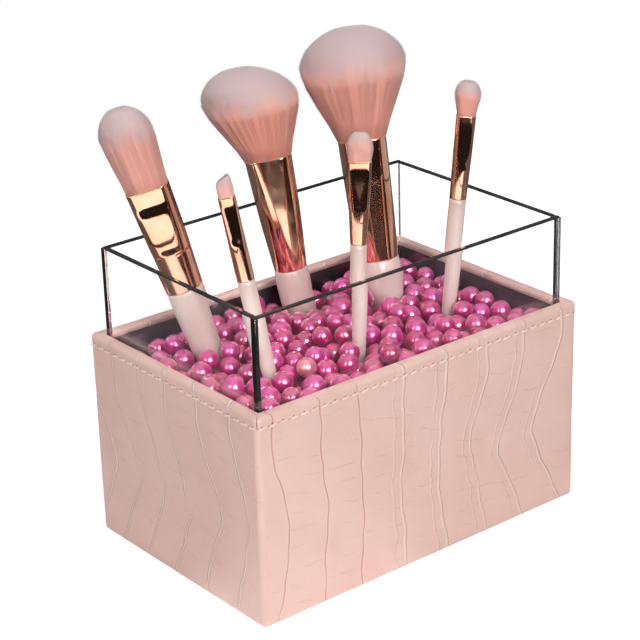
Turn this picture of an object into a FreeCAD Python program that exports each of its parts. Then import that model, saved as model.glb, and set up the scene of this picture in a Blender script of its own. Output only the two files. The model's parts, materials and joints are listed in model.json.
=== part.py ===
import FreeCAD, Part
import math
import os
import random

import Sketcher

# Brush holder: a board case covered in leather, open at the top, a clear acrylic insert that lifts out
# of it, loose pearls that fill the insert, and six make-up brushes that stand in the pearls.
# Frame: origin at the centre of the base, on the table; +X along the long side, -Y to the front, +Z up.

Vector = FreeCAD.Vector
doc = FreeCAD.newDocument("brush_holder")
sheet = doc.addObject("Spreadsheet::Sheet", "dims")
nodes = []


# ---------------------------------------------------------------- driving dimensions, in millimetres

case_dims = {
    "case_length": 190, "case_width": 125, "case_height": 101,
    "leather_skin": 1, "board_skin": 3, "lining_skin": 1, "base_board_skin": 4,
    "case_corner_radius": 2.5, "board_corner_radius": 1.5,
    "rim_outer_radius": 2, "rim_inner_radius": 0.8,
    "lip_depth": 3, "turn_in_width": 12, "felt_gap": 0.25,
}
stitch_dims = {
    "stitch_line_depth": 5.2, "stitch_pitch": 3.5, "stitch_length": 2.5,
    "thread_radius": 0.35, "stitch_end_gap": 3.4,
}
insert_dims = {
    "insert_gap": 0.5, "acrylic_skin": 3, "insert_top": 143.5,
}
pearl_dims = {
    "pearl_radius_least": 4.6, "pearl_radius_most": 5.3, "pearl_gap": 0.06, "handle_gap": 0.5,
    "fill_level": 99.5, "heap_height": 3.5, "corner_dip": 7, "corner_dip_reach": 34,
}

# Heights of a brush run along its own axis, from the point where the axis passes the seat level.
# The lean is from vertical and the heading is the side it leans to, both in degrees; the broad side
# of every flattened brush faces the same way.
brush_dims = {
    "seat_level": 98, "broad_side_heading": 231.3,
    "ferrule_skin": 0.4, "ferrule_swell": 0.64, "tenon_length": 14, "tenon_share": 0.6,
    "root_depth": 12, "root_share": 0.8, "fit_gap": 0.05,
}
brushes = {
    "foundation": {
        "seat_x": -57.6, "seat_y": 22.0, "lean": 17.3, "heading": 141.6,
        "buried_length": 64, "end_radius": 3.4, "seat_radius": 7.0,
        "belly_height": 19, "belly_radius": 7.9, "foot_height": 29.1, "foot_radius": 7.9,
        "mouth_height": 79.7, "mouth_half_width": 10.1, "mouth_flatness": 0.64,
        "spread_height": 104, "spread_half_width": 12.4, "head_flatness": 0.62,
        "tip_height": 118.5, "tip_skew": 0,
    },
    "liner": {
        "seat_x": -54.3, "seat_y": -16.8, "lean": 10.2, "heading": 134.0,
        "buried_length": 67, "end_radius": 1.9, "seat_radius": 3.3,
        "belly_height": 31, "belly_radius": 3.9, "foot_height": 42.1, "foot_radius": 4.1,
        "mouth_height": 81.1, "mouth_half_width": 3.9, "mouth_flatness": 0.5,
        "spread_height": 84.5, "spread_half_width": 3.5, "head_flatness": 0.5,
        "tip_height": 91.2, "tip_skew": 1.1,
    },
    "blush": {
        "seat_x": 7.2, "seat_y": 38.1, "lean": 9.5, "heading": 127.4,
        "buried_length": 62, "end_radius": 3.6, "seat_radius": 8.0,
        "belly_height": 9, "belly_radius": 8.3, "foot_height": 15, "foot_radius": 7.9,
        "mouth_height": 70.9, "mouth_half_width": 11.2, "mouth_flatness": 0.76,
        "spread_height": 97.9, "spread_half_width": 22.6, "head_flatness": 0.74,
        "tip_height": 115.2, "tip_skew": -4.4,
    },
    "shader": {
        "seat_x": -3.5, "seat_y": -19.6, "lean": 4.7, "heading": 26.1,
        "buried_length": 66, "end_radius": 1.8, "seat_radius": 3.3,
        "belly_height": 28, "belly_radius": 3.7, "foot_height": 44.5, "foot_radius": 3.8,
        "mouth_height": 82.9, "mouth_half_width": 5.5, "mouth_flatness": 0.34,
        "spread_height": 88, "spread_half_width": 5.9, "head_flatness": 0.42,
        "tip_height": 97.2, "tip_skew": 0,
    },
    "powder": {
        "seat_x": 46.2, "seat_y": 20.8, "lean": 8.8, "heading": 97.4,
        "buried_length": 66, "end_radius": 4.0, "seat_radius": 9.6,
        "belly_height": 8, "belly_radius": 10.7, "foot_height": 14.3, "foot_radius": 10.0,
        "mouth_height": 73.8, "mouth_half_width": 11.6, "mouth_flatness": 0.79,
        "spread_height": 107, "spread_half_width": 25.6, "head_flatness": 0.8,
        "tip_height": 127.2, "tip_skew": 0.6,
    },
    "crease": {
        "seat_x": 56.1, "seat_y": -15.5, "lean": 6.6, "heading": 348.4,
        "buried_length": 61, "end_radius": 2.0, "seat_radius": 3.3,
        "belly_height": 40, "belly_radius": 4.0, "foot_height": 50.9, "foot_radius": 4.0,
        "mouth_height": 90.8, "mouth_half_width": 4.6, "mouth_flatness": 0.62,
        "spread_height": 100.5, "spread_half_width": 6.1, "head_flatness": 0.8,
        "tip_height": 107.7, "tip_skew": -0.3,
    },
}


def fill_sheet():
    values = {}
    for group in (case_dims, stitch_dims, insert_dims, pearl_dims, brush_dims):
        values.update(group)
    for brush, brush_sizes in brushes.items():
        values.update({brush + "_" + name: value for name, value in brush_sizes.items()})
    for line, (alias, value) in enumerate(values.items(), start=1):
        sheet.set("A%d" % line, alias)
        sheet.set("B%d" % line, str(value))
        sheet.setAlias("B%d" % line, alias)
    doc.recompute()


def size(alias):
    return float(sheet.get(alias))


def worked_out(expression):
    """The number that an expression on the sheet gives."""
    return float(sheet.evalExpression(expression))


# ---------------------------------------------------------------- shared helpers

def bind(obj, **expressions):
    """Bind properties to the sheet; a double underscore stands for a dot in the property's path."""
    for path, expression in expressions.items():
        obj.setExpression(path.replace("__", "."), expression)


def node(obj, name):
    obj.Label = name
    nodes.append(obj)
    return obj


def box(name, length, width, height, low_z, x="0", y="0"):
    """A box centred on x and y that stands on low_z; every size is an expression on the sheet."""
    obj = doc.addObject("Part::Box", name)
    bind(obj, Length=length, Width=width, Height=height,
         Placement__Base__x="(%s) - (%s) / 2" % (x, length),
         Placement__Base__y="(%s) - (%s) / 2" % (y, width),
         Placement__Base__z=low_z)
    return obj


def origin_plane(body, role):
    return next(feature for feature in body.Origin.OriginFeatures if feature.Role == role)


def level_sketch(body, name, level):
    sketch = body.newObject("Sketcher::SketchObject", name)
    sketch.AttachmentSupport = [(origin_plane(body, "XY_Plane"), "")]
    sketch.MapMode = "FlatFace"
    sketch.setExpression("AttachmentOffset.Base.z", level)
    return sketch


def add_rectangle(sketch, length, width, x="0", y="0"):
    """Adds a rectangle whose sides and middle are bound to the sheet."""
    first = sketch.GeometryCount
    corners = [Vector(sx * 10, sy * 5, 0) for sx, sy in ((-1, -1), (1, -1), (1, 1), (-1, 1))]
    for start, end in zip(corners, corners[1:] + corners[:1]):
        sketch.addGeometry(Part.LineSegment(start, end), False)
    for side in range(4):
        sketch.addConstraint(Sketcher.Constraint("Coincident", first + side, 2, first + (side + 1) % 4, 1))
        direction = "Horizontal" if side % 2 == 0 else "Vertical"
        sketch.addConstraint(Sketcher.Constraint(direction, first + side))
    bound = (
        (Sketcher.Constraint("DistanceX", first, 1, first, 2, 20), length),
        (Sketcher.Constraint("DistanceY", first + 1, 1, first + 1, 2, 10), width),
        (Sketcher.Constraint("DistanceX", -1, 1, first, 2, 10), "(%s) + (%s) / 2" % (x, length)),
        (Sketcher.Constraint("DistanceY", -1, 1, first + 2, 1, 5), "(%s) + (%s) / 2" % (y, width)),
    )
    for constraint, expression in bound:
        number = sketch.addConstraint(constraint)
        sketch.setExpression("Constraints[%d]" % number, expression)


def extrude(body, kind, name, sketch, length, downwards=False):
    feature = body.newObject(kind, name)
    feature.Profile = sketch
    feature.Reversed = downwards
    feature.setExpression("Length", length)
    doc.recompute()
    return feature


def edges_where(feature, test):
    return ["Edge%d" % (number + 1) for number, edge in enumerate(feature.Shape.Edges) if test(edge)]


def round_edges(body, name, base, test, radius):
    fillet = body.newObject("PartDesign::Fillet", name)
    fillet.Base = (base, edges_where(base, test))
    fillet.setExpression("Radius", radius)
    doc.recompute()
    return fillet


def is_upright(edge):
    ends = [vertex.Point for vertex in edge.Vertexes]
    return len(ends) == 2 and (ends[0] - ends[1]).cross(Vector(0, 0, 1)).Length < 1e-6


def reaches(edge, x, y):
    return all(abs(abs(v.X) - x) < 1e-4 and abs(abs(v.Y) - y) < 1e-4 for v in edge.Vertexes)


def lies_at(edge, level):
    return all(abs(vertex.Z - level) < 1e-4 for vertex in edge.Vertexes)


# ---------------------------------------------------------------- case: boards, leather, lining, felt

board_length = "dims.case_length - 2 * dims.leather_skin"
board_width = "dims.case_width - 2 * dims.leather_skin"
wall_low = "dims.leather_skin + dims.base_board_skin"
wall_high = "dims.case_height - dims.leather_skin"
wall_height = "%s - (%s)" % (wall_high, wall_low)
rim_width = "(2 * dims.leather_skin + dims.board_skin)"
mouth_length = "dims.case_length - 2 * " + rim_width
mouth_width = "dims.case_width - 2 * " + rim_width
lip_low = "dims.case_height - dims.lip_depth"


def make_board(name, length, width, height, low, x, y, is_outer_corner):
    """A board cut to size, its outer upright corners rounded so that the leather lies smooth."""
    body = doc.addObject("PartDesign::Body", name + "_body")
    sketch = level_sketch(body, name + "_outline", low)
    add_rectangle(sketch, length, width, x, y)
    pad = extrude(body, "PartDesign::Pad", name + "_pad", sketch, height)
    if is_outer_corner:
        round_edges(body, name + "_corners", pad,
                    lambda edge: is_upright(edge) and is_outer_corner(edge.Vertexes[0].Point),
                    "dims.board_corner_radius")
    return node(body, name)


def make_boards():
    reach = size("case_width") / 2 - size("leather_skin")
    make_board("bottom_board", board_length, board_width, "dims.base_board_skin", "dims.leather_skin",
               "0", "0", lambda point: True)
    offset = "(%s) / 2 - dims.board_skin / 2" % board_width
    for name, sign in (("front_board", "-1"), ("back_board", "1")):
        make_board(name, board_length, "dims.board_skin", wall_height, wall_low,
                   "0", "%s * (%s)" % (sign, offset), lambda point: abs(abs(point.y) - reach) < 1e-4)
    offset = "(%s) / 2 - dims.board_skin / 2" % board_length
    for name, sign in (("left_board", "-1"), ("right_board", "1")):
        make_board(name, "dims.board_skin", board_width + " - 2 * dims.board_skin", wall_height, wall_low,
                   "%s * (%s)" % (sign, offset), "0", None)


def make_leather():
    """One cover: outer skin, fold over the rim, short lip inside it and turn-in under the base."""
    body = doc.addObject("PartDesign::Body", "leather_body")
    outline = level_sketch(body, "leather_outline", "0")
    add_rectangle(outline, "dims.case_length", "dims.case_width")
    block = extrude(body, "PartDesign::Pad", "leather_block", outline, "dims.case_height")
    corners = round_edges(body, "leather_corners", block, is_upright, "dims.case_corner_radius")
    top = size("case_height")
    fold = round_edges(body, "rim_outer_fold", corners, lambda edge: lies_at(edge, top),
                       "dims.rim_outer_radius")

    mouth = level_sketch(body, "mouth_outline", "dims.case_height")
    add_rectangle(mouth, mouth_length, mouth_width)
    cavity = extrude(body, "PartDesign::Pocket", "mouth_cavity", mouth,
                     "dims.case_height - dims.leather_skin")
    rim = size("case_width") / 2 - 2 * size("leather_skin") - size("board_skin")
    round_edges(body, "rim_inner_fold", cavity,
                lambda edge: lies_at(edge, top) and min(abs(v.Y) for v in edge.Vertexes) < rim + 1e-4,
                "dims.rim_inner_radius")

    window = level_sketch(body, "turn_in_window", "dims.leather_skin")
    window_side = " - 2 * dims.turn_in_width"
    add_rectangle(window, board_length + window_side, board_width + window_side)
    extrude(body, "PartDesign::Pocket", "turn_in", window, "dims.leather_skin")

    room = level_sketch(body, "board_room_outline", lip_low)
    add_rectangle(room, board_length, board_width)
    hollow = extrude(body, "PartDesign::Pocket", "board_room", room, lip_low + " - dims.leather_skin")
    half_length = size("case_length") / 2 - size("leather_skin")
    half_width = size("case_width") / 2 - size("leather_skin")
    round_edges(body, "board_room_corners", hollow,
                lambda edge: is_upright(edge) and reaches(edge, half_length, half_width),
                "dims.board_corner_radius")

    slot = level_sketch(body, "board_slot_outline", wall_high)
    add_rectangle(slot, board_length, board_width)
    add_rectangle(slot, board_length + " - 2 * dims.board_skin", board_width + " - 2 * dims.board_skin")
    extrude(body, "PartDesign::Pocket", "board_slot", slot, "dims.lip_depth - dims.leather_skin")
    return node(body, "leather_wrap")


def make_lining():
    floor_length = board_length + " - 2 * dims.board_skin"
    floor_width = board_width + " - 2 * dims.board_skin"
    node(box("lining_floor_box", floor_length, floor_width, "dims.lining_skin", wall_low), "lining_floor")
    low = wall_low + " + dims.lining_skin"
    height = "%s - (%s)" % (lip_low, low)
    offset = "(%s - dims.lining_skin) / 2" % floor_width
    for name, sign in (("lining_front", "-1"), ("lining_back", "1")):
        node(box(name + "_box", floor_length, "dims.lining_skin", height, low,
                 y="%s * (%s)" % (sign, offset)), name)
    offset = "(%s - dims.lining_skin) / 2" % floor_length
    for name, sign in (("lining_left", "-1"), ("lining_right", "1")):
        node(box(name + "_box", "dims.lining_skin", floor_width + " - 2 * dims.lining_skin", height, low,
                 x="%s * (%s)" % (sign, offset)), name)


def make_base_felt():
    inset = " - 2 * dims.turn_in_width - 2 * dims.felt_gap"
    node(box("base_felt_box", board_length + inset, board_width + inset, "dims.leather_skin", "0"),
         "base_felt")


def make_stitching():
    """Separate stitches of one thread, half sunk in the leather, in a line below the rim."""
    level = size("case_height") - size("stitch_line_depth")
    stitches = []
    sides = ((Vector(1, 0, 0), size("case_length"), size("case_width")),
             (Vector(0, 1, 0), size("case_width"), size("case_length")))
    for along, run, span in sides:
        outward = along.cross(Vector(0, 0, 1))
        usable = run - 2 * size("stitch_end_gap")
        count = int(usable / size("stitch_pitch"))
        pitch = usable / count
        for sign in (-1, 1):
            face = outward * (sign * span / 2) + Vector(0, 0, level)
            for index in range(count):
                middle = face + along * ((index + 0.5) * pitch - usable / 2)
                start = middle - along * (size("stitch_length") / 2)
                stitches.append(Part.makeCylinder(size("thread_radius"), size("stitch_length"), start, along))
    thread = doc.addObject("Part::Feature", "stitches")
    thread.Shape = Part.makeCompound(stitches)
    node(thread, "rim_stitching")


# ---------------------------------------------------------------- insert: acrylic box and pearls

insert_low = wall_low + " + dims.lining_skin"
insert_length = "(%s - 2 * dims.insert_gap)" % mouth_length
insert_width = "(%s - 2 * dims.insert_gap)" % mouth_width


def make_insert():
    """Five sheets cemented at their edges: long front and back, short sides and floor between them."""
    height = "dims.insert_top - (%s)" % insert_low
    offset = "(%s - dims.acrylic_skin) / 2" % insert_width
    for name, sign in (("acrylic_front", "-1"), ("acrylic_back", "1")):
        node(box(name + "_box", insert_length, "dims.acrylic_skin", height, insert_low,
                 y="%s * (%s)" % (sign, offset)), name)
    offset = "(%s - dims.acrylic_skin) / 2" % insert_length
    between = insert_width + " - 2 * dims.acrylic_skin"
    for name, sign in (("acrylic_left", "-1"), ("acrylic_right", "1")):
        node(box(name + "_box", "dims.acrylic_skin", between, height, insert_low,
                 x="%s * (%s)" % (sign, offset)), name)
    node(box("acrylic_floor_box", insert_length + " - 2 * dims.acrylic_skin", between,
             "dims.acrylic_skin", insert_low), "acrylic_floor")


class HandleTaper:
    """The buried stretch of a handle, as straight tapers between its rings."""

    def __init__(self, brush):
        self.to_brush = brush_placement(brush).inverse()
        self.rings = [(worked_out(height), worked_out(radius)) for height, radius in handle_stations(brush)]

    def clearance(self, point):
        """Distance from a point to the handle's surface."""
        local = self.to_brush.multVec(point)
        across = math.hypot(local.x, local.y)
        low, low_radius = self.rings[0]
        if local.z < low:
            return math.hypot(across, local.z - low) - low_radius
        for high, high_radius in self.rings[1:]:
            if local.z < high:
                share = (local.z - low) / (high - low)
                return across - (low_radius + share * (high_radius - low_radius))
            low, low_radius = high, high_radius
        return across - low_radius


class PearlFill:
    """Pearls dropped one by one into a box; each rolls down to the lowest rest that it finds."""

    def __init__(self, half_length, half_width, floor, handles):
        self.half_length = half_length
        self.half_width = half_width
        self.floor = floor
        self.handles = handles
        self.gap = size("pearl_gap")
        self.handle_gap = size("handle_gap")
        self.cell = 2 * size("pearl_radius_most") + self.gap
        self.columns = {}
        self.pearls = []

    def neighbours(self, x, y):
        column, row = int(x // self.cell), int(y // self.cell)
        for step_x in (-1, 0, 1):
            for step_y in (-1, 0, 1):
                yield from self.columns.get((column + step_x, row + step_y), ())

    def rest(self, x, y, radius):
        """Height of a pearl's middle where it comes to rest at x, y, or None where it can't go."""
        reach = radius + self.gap
        if abs(x) > self.half_length - reach or abs(y) > self.half_width - reach:
            return None
        height = self.floor + reach
        for other_x, other_y, other_z, other_radius in self.neighbours(x, y):
            rise = (reach + other_radius) ** 2 - (x - other_x) ** 2 - (y - other_y) ** 2
            if rise > 0:
                height = max(height, other_z + math.sqrt(rise))
        middle = Vector(x, y, height)
        if any(handle.clearance(middle) < radius + self.handle_gap for handle in self.handles):
            return None
        return height

    def roll(self, x, y, height, radius):
        """Moves a pearl downhill in ever smaller steps until it lies in a hollow."""
        step = radius / 2
        while step > radius / 200:
            lower = []
            for turn in range(8):
                near_x = x + step * math.cos(turn * math.pi / 4)
                near_y = y + step * math.sin(turn * math.pi / 4)
                near_height = self.rest(near_x, near_y, radius)
                if near_height is not None and near_height < height - 1e-6:
                    lower.append((near_height, near_x, near_y))
            if lower:
                height, x, y = min(lower)
            else:
                step /= 2
        return x, y, height

    def top_level(self, x, y):
        """The heap is highest in the middle and dips in the left back corner."""
        heap = math.cos(x / self.half_length * math.pi / 2) * math.cos(y / self.half_width * math.pi / 2)
        from_corner = math.hypot(x + self.half_length, y - self.half_width)
        dip = max(0, 1 - from_corner / size("corner_dip_reach"))
        return size("fill_level") + size("heap_height") * heap - size("corner_dip") * dip

    def add(self, draw, drops):
        """Drops one pearl a few times at random and keeps the lowest; False if it stands too high."""
        radius = draw.uniform(size("pearl_radius_least"), size("pearl_radius_most"))
        spots = []
        while len(spots) < drops:
            x = draw.uniform(-self.half_length, self.half_length)
            y = draw.uniform(-self.half_width, self.half_width)
            height = self.rest(x, y, radius)
            if height is not None:
                spots.append((height - self.top_level(x, y), x, y, height))
        _, x, y, height = min(spots)
        x, y, height = self.roll(x, y, height, radius)
        if height + radius > self.top_level(x, y):
            return False
        pearl = (x, y, height, radius)
        self.pearls.append(pearl)
        self.columns.setdefault((int(x // self.cell), int(y // self.cell)), []).append(pearl)
        return True


def make_pearls(layers=6, drops=40, misses_allowed=60, seed=7):
    """Every pearl is a ball of its own; the fill is cut into layers by height, from the bottom up."""
    half_length = worked_out(insert_length + " / 2 - dims.acrylic_skin")
    half_width = worked_out(insert_width + " / 2 - dims.acrylic_skin")
    floor = worked_out(insert_low + " + dims.acrylic_skin")
    fill = PearlFill(half_length, half_width, floor, [HandleTaper(brush) for brush in brushes])
    draw = random.Random(seed)
    misses = 0
    while misses < misses_allowed:
        misses = 0 if fill.add(draw, drops) else misses + 1

    depth = (size("fill_level") - floor) / layers
    groups = [[] for _ in range(layers)]
    for x, y, height, radius in fill.pearls:
        layer = min(layers - 1, int((height - floor) / depth))
        groups[layer].append(Part.makeSphere(radius, Vector(x, y, height)))
    for number, pearls in enumerate(groups, start=1):
        layer = doc.addObject("Part::Feature", "pearls_%d" % number)
        layer.Shape = Part.makeCompound(pearls)
        node(layer, "pearl_layer_%d" % number)
    print("pearls:", len(fill.pearls))


# ---------------------------------------------------------------- brushes: handle, ferrule, bristles

def brush_placement(brush):
    """The brush's own frame: +Z along its axis, +X across its broad side, origin at the seat level."""
    lean, heading = (math.radians(size(brush + "_" + column)) for column in ("lean", "heading"))
    axis = Vector(math.sin(lean) * math.cos(heading), math.sin(lean) * math.sin(heading), math.cos(lean))
    facing = math.radians(size("broad_side_heading"))
    across = axis.cross(Vector(math.cos(facing), math.sin(facing), 0))
    across.normalize()
    seat = Vector(size(brush + "_seat_x"), size(brush + "_seat_y"), size("seat_level"))
    return FreeCAD.Placement(seat, FreeCAD.Rotation(across, axis.cross(across), axis, "ZXY"))


def ring(name, height, major, minor=None, offset="0"):
    """An ellipse across the brush's axis; every argument is an expression on the sheet."""
    obj = doc.addObject("Part::Ellipse", name)
    bind(obj, MajorRadius=major, MinorRadius=minor or major,
         Placement__Base__x=offset, Placement__Base__z=height)
    return obj


def loft(name, rings):
    obj = doc.addObject("Part::Loft", name)
    obj.Sections = rings
    obj.Solid = True
    return obj


def handle_stations(brush):
    """Heights and radii of the turned handle, from its buried end up to the ferrule."""
    at = "dims.%s_" % brush
    stations = []
    for share in (0, 0.3, 0.6, 0.85, 1):
        stations.append(("{0}buried_length * ({1} - 1)".format(at, share),
                         "{0}end_radius + ({0}seat_radius - {0}end_radius) * {1}".format(at, share)))
    stations.append((at + "belly_height", at + "belly_radius"))
    stations.append((at + "foot_height", at + "foot_radius - dims.fit_gap"))
    return stations


def make_handle(brush):
    """Turned handle: rounded end, long taper, soft belly and a cone that the ferrule is glued on."""
    at = "dims.%s_" % brush
    shaft = loft(brush + "_shaft", [
        ring("%s_handle_ring_%d" % (brush, number), height, radius)
        for number, (height, radius) in enumerate(handle_stations(brush))
    ])
    end = doc.addObject("Part::Sphere", brush + "_handle_end")
    bind(end, Radius=at + "end_radius", Placement__Base__z="-%sburied_length" % at)
    cone = doc.addObject("Part::Cone", brush + "_handle_cone")
    bind(cone, Radius1=at + "foot_radius - dims.ferrule_skin - dims.fit_gap",
         Radius2=at + "foot_radius * dims.tenon_share", Height="dims.tenon_length",
         Placement__Base__z=at + "foot_height")
    handle = doc.addObject("Part::MultiFuse", brush + "_handle_fuse")
    handle.Shapes = [shaft, end, cone]
    return handle


def make_ferrule(brush):
    """Thin tube, round where it grips the handle and pressed flat at its mouth."""
    at = "dims.%s_" % brush
    middle = "({0}foot_height + {0}mouth_height) / 2".format(at)
    walls = []
    for name, skin in (("outer", ""), ("inner", " - dims.ferrule_skin")):
        foot = at + "foot_radius" + skin
        mouth_major = at + "mouth_half_width" + skin
        mouth_minor = "{0}mouth_half_width * {0}mouth_flatness".format(at) + skin
        middle_major = "(%s) + (%s - (%s)) * dims.ferrule_swell" % (foot, mouth_major, foot)
        middle_minor = "(%s + %s) / 2" % (foot, mouth_minor)
        walls.append(loft("%s_ferrule_%s" % (brush, name), [
            ring("%s_%s_foot" % (brush, name), at + "foot_height", foot),
            ring("%s_%s_middle" % (brush, name), middle, middle_major, middle_minor),
            ring("%s_%s_mouth" % (brush, name), at + "mouth_height", mouth_major, mouth_minor),
        ]))
    ferrule = doc.addObject("Part::Cut", brush + "_ferrule_cut")
    ferrule.Base, ferrule.Tool = walls
    return ferrule


def make_bristles(brush):
    """The tuft: its root stands in the ferrule, then it spreads and ends in a dome."""
    at = "dims.%s_" % brush
    inner_gap = " - dims.ferrule_skin - dims.fit_gap"
    mouth_major = at + "mouth_half_width" + inner_gap
    mouth_minor = "{0}mouth_half_width * {0}mouth_flatness".format(at) + inner_gap
    root = loft(brush + "_root", [
        ring(brush + "_root_low", at + "mouth_height - dims.root_depth",
             "(%s) * dims.root_share" % mouth_major, "(%s) * dims.root_share" % mouth_minor),
        ring(brush + "_root_high", at + "mouth_height", mouth_major, mouth_minor),
    ])

    rings = [ring(brush + "_head_mouth", at + "mouth_height", mouth_major, mouth_minor)]
    for share in (0.25, 0.5, 0.75):
        height = "{0}mouth_height + ({0}spread_height - {0}mouth_height) * {1}".format(at, share)
        opened = share * (1.15 - 0.15 * share)
        half_width = "({0}mouth_half_width + ({0}spread_half_width - {0}mouth_half_width) * {1})".format(at, opened)
        flatness = "({0}mouth_flatness + ({0}head_flatness - {0}mouth_flatness) * {1})".format(at, share)
        rings.append(ring("%s_head_flare_%d" % (brush, 100 * share), height, half_width,
                          "%s * %s" % (half_width, flatness), "%stip_skew * 0.55 * %s" % (at, share)))
    for rise in (0, 0.5, 0.8, 0.95, 0.995):
        height = "{0}spread_height + ({0}tip_height - {0}spread_height) * {1}".format(at, rise)
        half_width = "{0}spread_half_width * sqrt(1 - {1} * {1})".format(at, rise)
        rings.append(ring("%s_head_dome_%d" % (brush, 1000 * rise), height, half_width,
                          "%s * %shead_flatness" % (half_width, at), "%stip_skew * (0.55 + %s)" % (at, rise)))
    tuft = doc.addObject("Part::MultiFuse", brush + "_bristles_fuse")
    tuft.Shapes = [root, loft(brush + "_head", rings)]
    return tuft


def make_brushes():
    for brush in brushes:
        for piece, make in (("handle", make_handle), ("ferrule", make_ferrule), ("bristles", make_bristles)):
            obj = make(brush)
            obj.Placement = brush_placement(brush)
            node(obj, "%s_%s" % (brush, piece))


# ---------------------------------------------------------------- checks and export

def check_document():
    doc.recompute()
    for obj in doc.Objects:
        if "Invalid" in obj.State or "Error" in obj.State:
            raise RuntimeError("%s failed: %s" % (obj.Name, obj.State))
    for obj in nodes:
        if obj.Shape.isNull() or not obj.Shape.isValid() or obj.Shape.Volume <= 0:
            raise RuntimeError("%s has no sound shape" % obj.Label)


def check_pockets():
    """A pocket that points the wrong way cuts nothing, so each one's volume is compared."""
    for obj in doc.Objects:
        if obj.TypeId == "PartDesign::Pocket" and obj.Shape.Volume > obj.BaseFeature.Shape.Volume - 1:
            raise RuntimeError("%s cuts nothing" % obj.Name)


def export():
    os.makedirs("parts", exist_ok=True)
    for obj in nodes:
        obj.Shape.exportStep("parts/%s.step" % obj.Label)
        print("%-22s %9.0f mm3 %5d solids" % (obj.Label, obj.Shape.Volume, len(obj.Shape.Solids)))


fill_sheet()
make_boards()
make_leather()
make_lining()
make_base_felt()
make_stitching()
make_insert()
make_pearls()
make_brushes()
check_document()
check_pockets()
export()
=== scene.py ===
import json
import math
import random

import bmesh
import bpy
import numpy as np
from mathutils import Matrix, Vector


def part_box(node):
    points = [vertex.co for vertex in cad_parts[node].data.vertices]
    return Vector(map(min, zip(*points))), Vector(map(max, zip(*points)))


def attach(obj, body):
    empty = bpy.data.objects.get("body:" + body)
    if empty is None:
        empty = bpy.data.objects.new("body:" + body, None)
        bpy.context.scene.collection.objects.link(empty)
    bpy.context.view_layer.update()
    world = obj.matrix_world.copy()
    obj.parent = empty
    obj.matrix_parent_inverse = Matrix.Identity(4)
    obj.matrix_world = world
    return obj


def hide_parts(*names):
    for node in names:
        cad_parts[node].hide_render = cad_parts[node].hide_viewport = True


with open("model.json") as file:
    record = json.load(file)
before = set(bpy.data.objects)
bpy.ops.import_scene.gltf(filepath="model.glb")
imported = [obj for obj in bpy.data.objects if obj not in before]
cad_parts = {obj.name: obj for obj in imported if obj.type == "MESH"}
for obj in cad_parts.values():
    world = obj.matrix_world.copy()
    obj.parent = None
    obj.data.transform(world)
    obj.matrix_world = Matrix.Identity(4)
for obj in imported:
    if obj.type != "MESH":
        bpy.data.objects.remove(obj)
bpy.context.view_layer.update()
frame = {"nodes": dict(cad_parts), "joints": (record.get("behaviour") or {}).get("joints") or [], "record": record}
mm = 0.001
print("frame loaded")


def between(operation):  # an operator of two wires or numbers, and its reflected form
    return (lambda self, other: self.math(operation, self, other),
            lambda self, other: self.math(operation, other, self))


def alone(operation):
    return lambda self: self.math(operation, self)


# Sums over a surface or a tuft are plain expressions on Wire, which wraps one output socket.
class Wire:
    __add__, __radd__ = between("ADD")
    __sub__, __rsub__ = between("SUBTRACT")
    __mul__, __rmul__ = between("MULTIPLY")
    __truediv__, __rtruediv__ = between("DIVIDE")
    __pow__, __rpow__ = between("POWER")
    __abs__ = alone("ABSOLUTE")
    fract, sine, cosine, sign = alone("FRACT"), alone("SINE"), alone("COSINE"), alone("SIGN")

    def __init__(self, maker, socket):
        self.maker = maker
        self.socket = socket

    def math(self, operation, *values):
        return self.maker.add("ShaderNodeMath", {"operation": operation}, dict(enumerate(values)))

    def near(self, low, high):  # 1 up to low on both sides of zero, 0 beyond high
        return abs(self).ease(low, high, 1.0, 0.0)

    def ease(self, low, high, lowValue=0.0, highValue=1.0, how="SMOOTHSTEP"):  # held beyond both ends
        values = {"Value": self, "From Min": low, "From Max": high, "To Min": lowValue, "To Max": highValue}
        return self.maker.add("ShaderNodeMapRange", {"interpolation_type": how}, values)


class NodeMaker:  # what material trees and geometry trees have in common
    def feed(self, socket, value):
        if isinstance(value, Wire):
            self.tree.links.new(value.socket, socket)
        else:
            socket.default_value = value

    def add(self, kind, settings=None, values=None, out=0):
        node = self.tree.nodes.new(kind)
        for key, value in (settings or {}).items():
            setattr(node, key, value)
        for key, value in (values or {}).items():
            self.feed(node.inputs[key], value)
        return Wire(self, node.outputs[out])


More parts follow.
